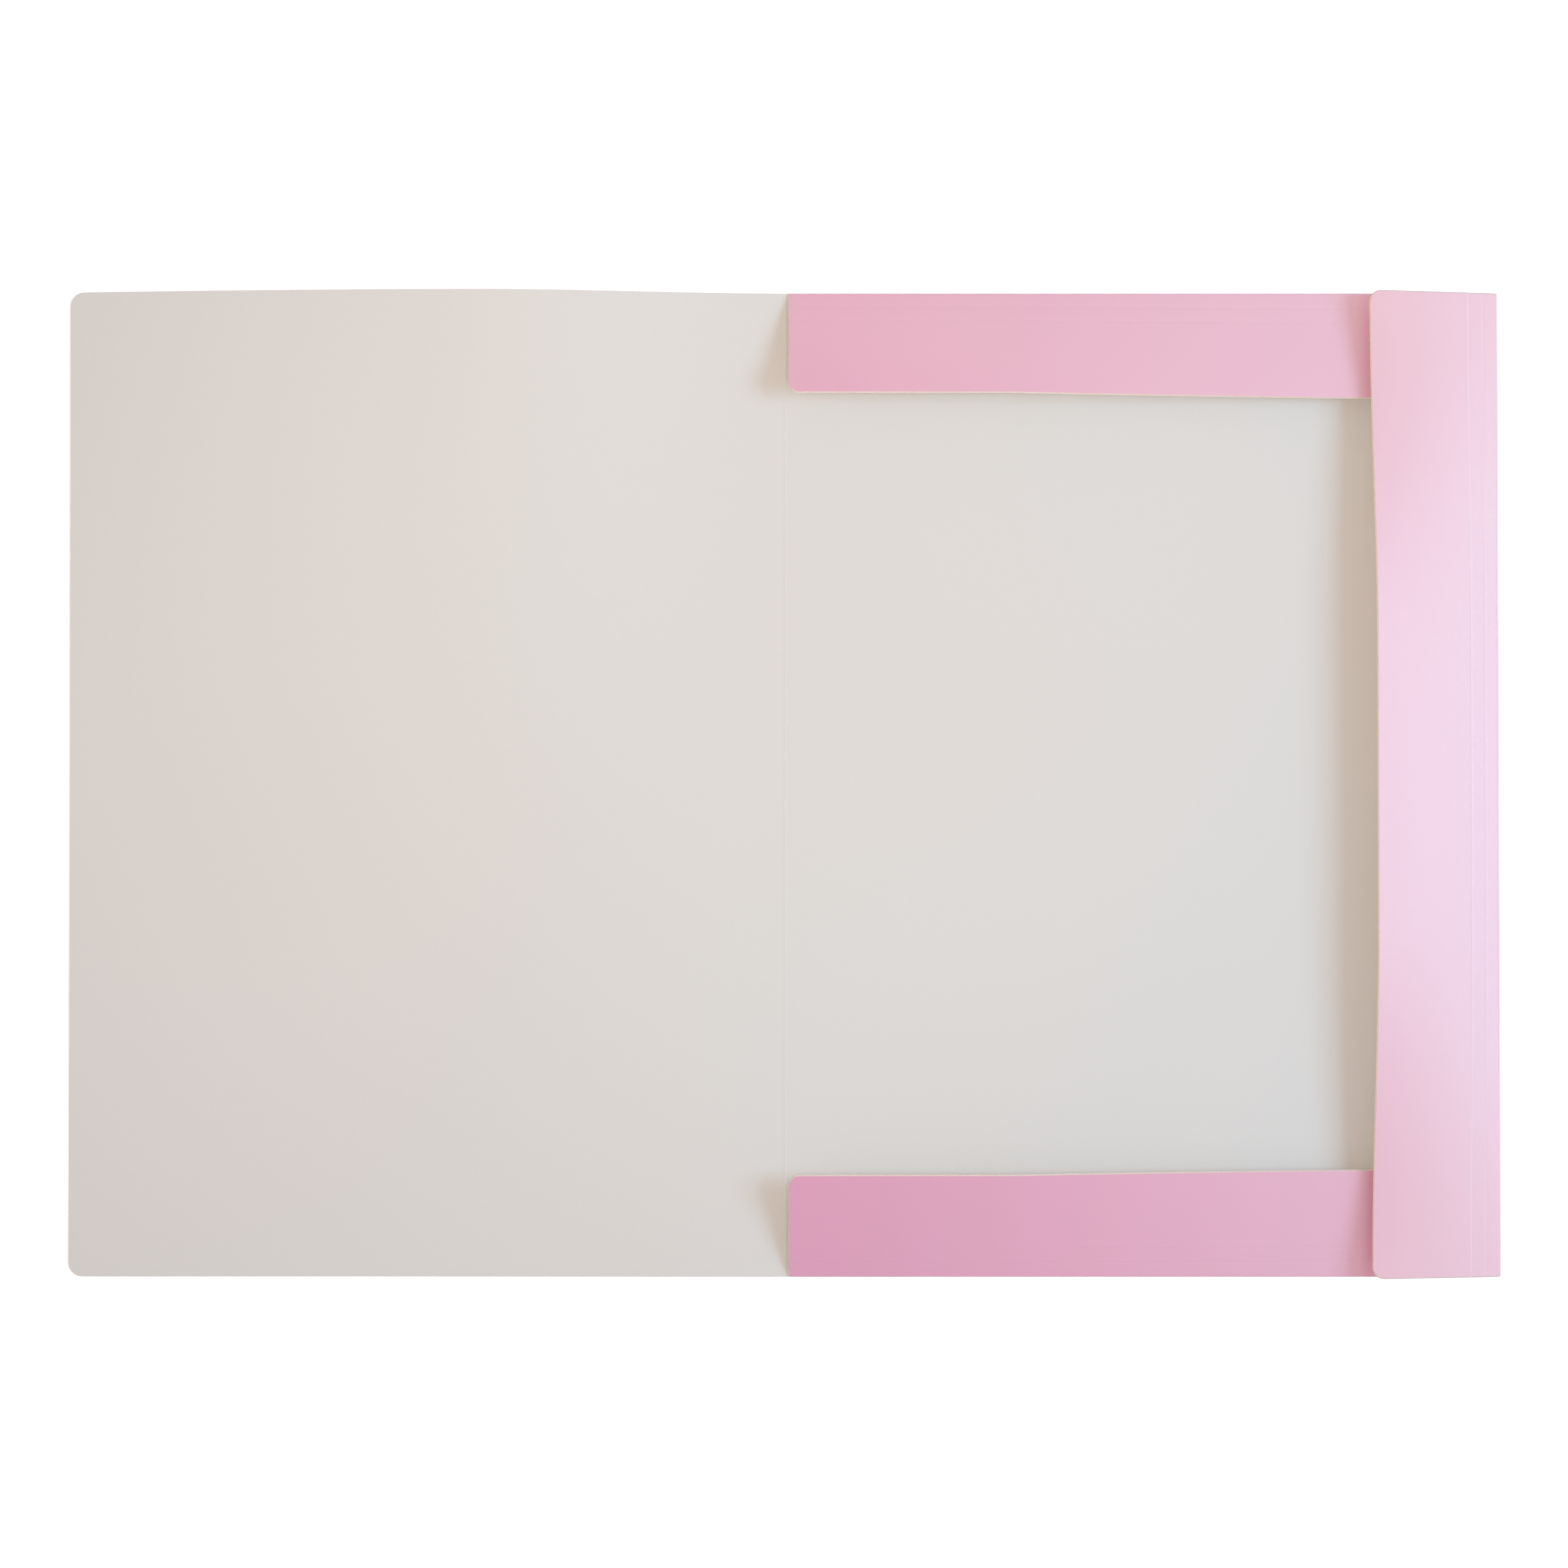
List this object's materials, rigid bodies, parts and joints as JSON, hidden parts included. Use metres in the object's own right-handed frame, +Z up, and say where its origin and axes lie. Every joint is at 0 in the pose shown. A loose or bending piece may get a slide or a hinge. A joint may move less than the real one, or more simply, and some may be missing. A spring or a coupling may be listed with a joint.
{
  "type": "elastic closure folder",
  "caption": "Flat card folder lying open: two covers joined by a spine crease, with turned-in top, bottom and side flaps and elastic bands over the back corners.",
  "frame": {"origin": "under the middle of the open folder, on the surface that it lies on", "axes": "+X from the front cover over the spine to the side flap, +Y towards the top flap, +Z up out of the folder's inside"},
  "size_m": [0.465, 0.32, 0.0172],
  "materials": {
    "inside_card": "uncoated off-white card, slightly rough",
    "outside_laminate": "pink to lilac pearlescent gloss laminate on card",
    "woven_elastic": "flat woven elastic band, dull",
    "clip_steel": "nickel-plated steel"
  },
  "bodies": {
    "root": {"back_cover": "inside_card", "spine_crease": "inside_card", "top_corner_elastic": "woven_elastic", "bottom_corner_elastic": "woven_elastic", "top_elastic_spine_end_clip": "clip_steel", "top_elastic_side_end_clip": "clip_steel", "bottom_elastic_spine_end_clip": "clip_steel", "bottom_elastic_side_end_clip": "clip_steel"},
    "front_cover": {"front_cover": "inside_card"},
    "top_fold_edge": {"top_fold_edge": "outside_laminate"},
    "top_flap": {"top_flap": "outside_laminate", "top_flap_tuck": "outside_laminate"},
    "bottom_fold_edge": {"bottom_fold_edge": "outside_laminate"},
    "bottom_flap": {"bottom_flap": "outside_laminate", "bottom_flap_tuck": "outside_laminate"},
    "side_fold_edge": {"side_fold_edge": "outside_laminate"},
    "side_flap": {"side_flap": "outside_laminate"}
  },
  "joints": [
    {"name": "cover_fold", "type": "hinge", "parent": "root", "child": "front_cover", "pos_m": [0.0005, 0, 0.0031], "axis": [0, 1, 0], "range_deg": [0, 178]},
    {"name": "top_fold", "type": "hinge", "parent": "root", "child": "top_fold_edge", "pos_m": [0.1, 0.15935, 0.00175], "axis": [-1, 0, 0], "range_deg": [0, 162], "deforming": ["top_flap_tuck"]},
    {"name": "top_press", "type": "hinge", "parent": "top_fold_edge", "child": "top_flap", "pos_m": [0.1, 0.155, 0.003], "axis": [-1, 0, 0], "range_deg": [-10.8, 0]},
    {"name": "bottom_fold", "type": "hinge", "parent": "root", "child": "bottom_fold_edge", "pos_m": [0.1, -0.15935, 0.00175], "axis": [1, 0, 0], "range_deg": [0, 162], "deforming": ["bottom_flap_tuck"]},
    {"name": "bottom_press", "type": "hinge", "parent": "bottom_fold_edge", "child": "bottom_flap", "pos_m": [0.1, -0.155, 0.003], "axis": [1, 0, 0], "range_deg": [-10.8, 0]},
    {"name": "side_fold", "type": "hinge", "parent": "root", "child": "side_fold_edge", "pos_m": [0.23185, 0, 0.00175], "axis": [0, 1, 0], "range_deg": [0, 160]},
    {"name": "side_press", "type": "hinge", "parent": "side_fold_edge", "child": "side_flap", "pos_m": [0.22766, 0, 0.00345], "axis": [0, 1, 0], "range_deg": [-10.8, 0]}
  ],
  "couplings": [
    {"joint": "top_press", "follows": "cover_fold", "ratio": -0.06},
    {"joint": "bottom_press", "follows": "cover_fold", "ratio": -0.06},
    {"joint": "side_press", "follows": "cover_fold", "ratio": -0.06}
  ]
}
